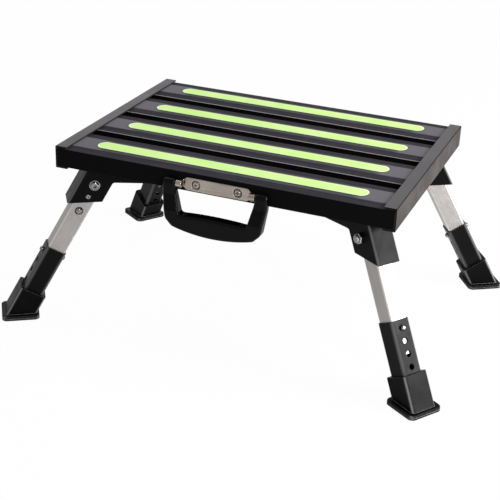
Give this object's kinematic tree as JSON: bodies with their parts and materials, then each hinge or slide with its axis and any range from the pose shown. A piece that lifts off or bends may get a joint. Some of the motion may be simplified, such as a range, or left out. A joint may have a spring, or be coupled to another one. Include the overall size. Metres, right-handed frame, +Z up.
{
  "type": "folding platform step",
  "caption": "Low slatted platform step with glow tape, folding splayed legs with telescopic sleeves on rubber feet, and a swinging carry handle.",
  "frame": {"origin": "on the floor, under the middle of the platform", "axes": "+X along the long side of the platform, the handle on the -Y side, +Z up"},
  "size_m": [0.6194, 0.442, 0.2435],
  "materials": {
    "deck": "satin dark grey coated extrusion",
    "rail": "satin grey coated channel",
    "tape": "pale yellow-green glow tape",
    "bracket": "satin black powder coat",
    "tube": "brushed anodised",
    "sleeve": "satin black powder coat",
    "foot": "semi-gloss black moulded rubber",
    "fastener": "bright zinc plate",
    "clip": "bright spring steel",
    "button": "bright zinc plate",
    "plate": "nickel-plated stamped steel",
    "handle": "gloss black moulding"
  },
  "bodies": {
    "platform": {"deck_slat_1": "deck", "glow_tape_1": "tape", "deck_slat_2": "deck", "glow_tape_2": "tape", "deck_slat_3": "deck", "glow_tape_3": "tape", "deck_slat_4": "deck", "glow_tape_4": "tape", "left_end_rail": "rail", "right_end_rail": "rail", "rail_rivets": "fastener", "bracket_screws": "fastener", "handle_plate": "plate", "plate_screws": "plate", "front_left_bracket": "bracket", "front_left_pivot_bolt": "fastener", "front_left_pivot_nut": "fastener", "front_left_spacers": "fastener", "front_right_bracket": "bracket", "front_right_pivot_bolt": "fastener", "front_right_pivot_nut": "fastener", "front_right_spacers": "fastener", "rear_left_bracket": "bracket", "rear_left_pivot_bolt": "fastener", "rear_left_pivot_nut": "fastener", "rear_left_spacers": "fastener", "rear_right_bracket": "bracket", "rear_right_pivot_bolt": "fastener", "rear_right_pivot_nut": "fastener", "rear_right_spacers": "fastener"},
    "handle": {"swing_handle": "handle"},
    "front_left_leg": {"front_left_leg_tube": "tube", "front_left_snap_clip": "clip", "front_left_lock_clip": "clip"},
    "front_left_extension": {"front_left_sleeve": "sleeve", "front_left_foot": "foot"},
    "front_left_release": {"front_left_release_button": "button"},
    "front_right_leg": {"front_right_leg_tube": "tube", "front_right_snap_clip": "clip", "front_right_lock_clip": "clip"},
    "front_right_extension": {"front_right_sleeve": "sleeve", "front_right_foot": "foot"},
    "front_right_release": {"front_right_release_button": "button"},
    "rear_left_leg": {"rear_left_leg_tube": "tube", "rear_left_snap_clip": "clip", "rear_left_lock_clip": "clip"},
    "rear_left_extension": {"rear_left_sleeve": "sleeve", "rear_left_foot": "foot"},
    "rear_left_release": {"rear_left_release_button": "button"},
    "rear_right_leg": {"rear_right_leg_tube": "tube", "rear_right_snap_clip": "clip", "rear_right_lock_clip": "clip"},
    "rear_right_extension": {"rear_right_sleeve": "sleeve", "rear_right_foot": "foot"},
    "rear_right_release": {"rear_right_release_button": "button"}
  },
  "joints": [
    {"name": "front_left_fold", "type": "hinge", "parent": "platform", "child": "front_left_leg", "pos_m": [-0.192, -0.1316, 0.1895], "axis": [0.5563, -0.831, 0], "range_deg": [0, 119.1], "deforming": ["front_left_lock_clip"]},
    {"name": "front_left_extend", "type": "slide", "parent": "front_left_leg", "child": "front_left_extension", "axis": [0.4041, 0.2705, 0.8738], "range_m": [0, 0.04875], "deforming": ["front_left_snap_clip"]},
    {"name": "front_left_release_press", "type": "slide", "parent": "front_left_leg", "child": "front_left_release", "axis": [-0.5563, 0.831, 0], "range_m": [0, 0.003], "stiffness_N_per_m": 400, "springref_m": -0.004, "deforming": ["front_left_lock_clip"]},
    {"name": "front_right_fold", "type": "hinge", "parent": "platform", "child": "front_right_leg", "pos_m": [0.192, -0.1316, 0.1895], "axis": [0.5563, 0.831, 0], "range_deg": [0, 119.1], "deforming": ["front_right_lock_clip"]},
    {"name": "front_right_extend", "type": "slide", "parent": "front_right_leg", "child": "front_right_extension", "axis": [-0.4041, 0.2705, 0.8738], "range_m": [0, 0.04875], "deforming": ["front_right_snap_clip"]},
    {"name": "front_right_release_press", "type": "slide", "parent": "front_right_leg", "child": "front_right_release", "axis": [-0.5563, -0.831, 0], "range_m": [0, 0.003], "stiffness_N_per_m": 400, "springref_m": -0.004, "deforming": ["front_right_lock_clip"]},
    {"name": "rear_left_fold", "type": "hinge", "parent": "platform", "child": "rear_left_leg", "pos_m": [-0.192, 0.1316, 0.1895], "axis": [-0.5563, -0.831, 0], "range_deg": [0, 119.1], "deforming": ["rear_left_lock_clip"]},
    {"name": "rear_left_extend", "type": "slide", "parent": "rear_left_leg", "child": "rear_left_extension", "axis": [0.4041, -0.2705, 0.8738], "range_m": [0, 0.04875], "deforming": ["rear_left_snap_clip"]},
    {"name": "rear_left_release_press", "type": "slide", "parent": "rear_left_leg", "child": "rear_left_release", "axis": [0.5563, 0.831, 0], "range_m": [0, 0.003], "stiffness_N_per_m": 400, "springref_m": -0.004, "deforming": ["rear_left_lock_clip"]},
    {"name": "rear_right_fold", "type": "hinge", "parent": "platform", "child": "rear_right_leg", "pos_m": [0.192, 0.1316, 0.1895], "axis": [-0.5563, 0.831, 0], "range_deg": [0, 119.1], "deforming": ["rear_right_lock_clip"]},
    {"name": "rear_right_extend", "type": "slide", "parent": "rear_right_leg", "child": "rear_right_extension", "axis": [-0.4041, -0.2705, 0.8738], "range_m": [0, 0.04875], "deforming": ["rear_right_snap_clip"]},
    {"name": "rear_right_release_press", "type": "slide", "parent": "rear_right_leg", "child": "rear_right_release", "axis": [0.5563, -0.831, 0], "range_m": [0, 0.003], "stiffness_N_per_m": 400, "springref_m": -0.004, "deforming": ["rear_right_lock_clip"]},
    {"name": "handle_swing", "type": "hinge", "parent": "platform", "child": "handle", "pos_m": [0, -0.1715, 0.2263], "axis": [-1, 0, 0], "range_deg": [0, 165]}
  ]
}
